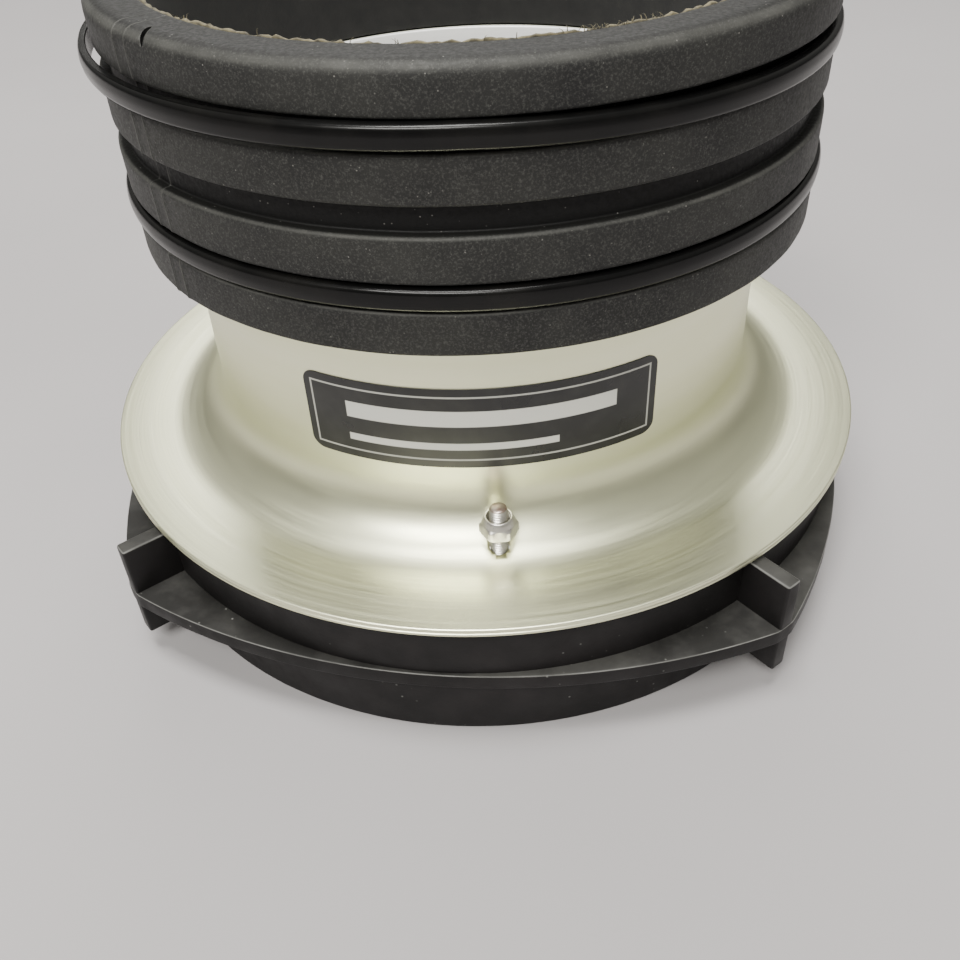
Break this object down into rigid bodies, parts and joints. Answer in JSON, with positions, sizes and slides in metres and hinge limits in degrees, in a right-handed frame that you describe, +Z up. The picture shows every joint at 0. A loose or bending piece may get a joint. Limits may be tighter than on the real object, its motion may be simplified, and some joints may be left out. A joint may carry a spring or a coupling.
{
  "type": "flash head adapter plate",
  "caption": "Clamp-on adapter for a studio flash head: ribbed rubber collar with two clamp bands, spun aluminium neck and flange, and a turning moulded ring with grip fins.",
  "frame": {"origin": "on the light axis, at the foot of the locking ring, where the adapter stands", "axes": "+Z up the light axis, from the ring towards the flash head's end; -Y towards the label, +Y towards the latch"},
  "size_m": [0.144, 0.144, 0.1048],
  "materials": {
    "spun_aluminium": "satin, lightly brushed by spinning",
    "collar_rubber": "matte, dusty moulded rubber",
    "liner_cloth": "black felt on a tan backing that shows where the lip is frayed",
    "band_black": "glossy black enamel",
    "label_black": "satin black film",
    "latch_steel": "bright nickel-plated pressed steel",
    "pin_steel": "turned steel",
    "ring_plastic": "matte moulded black, scuffed",
    "glide_felt": "black felt",
    "retainer_metal": "plain turned",
    "zinc_steel": "zinc plated"
  },
  "bodies": {
    "adapter_body": {"flange_plate": "spun_aluminium", "neck_label": "label_black", "rubber_collar": "collar_rubber", "collar_liner": "liner_cloth", "upper_clamp_band": "band_black", "latch_base": "latch_steel", "latch_catch": "latch_steel", "latch_rivets": "pin_steel", "lever_pivot_pin": "pin_steel", "lower_clamp_band": "band_black", "lower_lug_left": "latch_steel", "lower_lug_right": "latch_steel", "lower_lug_rivets": "pin_steel", "lower_clamp_screw": "zinc_steel", "lower_clamp_nut": "zinc_steel", "glide_ring": "glide_felt", "retainer_ring": "retainer_metal", "retainer_spacers": "zinc_steel", "retainer_washers": "zinc_steel", "retainer_screws": "zinc_steel", "retainer_nuts": "zinc_steel"},
    "locking_ring": {"locking_ring": "ring_plastic"},
    "latch_lever": {"latch_lever": "latch_steel", "bail_pin": "pin_steel"},
    "latch_bail": {"latch_bail": "latch_steel"}
  },
  "joints": [
    {"name": "ring_turn", "type": "hinge", "parent": "adapter_body", "child": "locking_ring", "pos_m": [0, 0, 0.02], "axis": [0, 0, 1], "continuous": true},
    {"name": "lever_hinge", "type": "hinge", "parent": "adapter_body", "child": "latch_lever", "pos_m": [-0.01273, 0.06437, 0.0961], "axis": [0, 0, 1], "range_deg": [-150, 0]},
    {"name": "bail_hinge", "type": "hinge", "parent": "latch_lever", "child": "latch_bail", "pos_m": [-0.01896, 0.06342, 0.0961], "axis": [0, 0, 1], "range_deg": [0, 150]}
  ],
  "couplings": [
    {"joint": "bail_hinge", "follows": "lever_hinge", "ratio": -1}
  ]
}
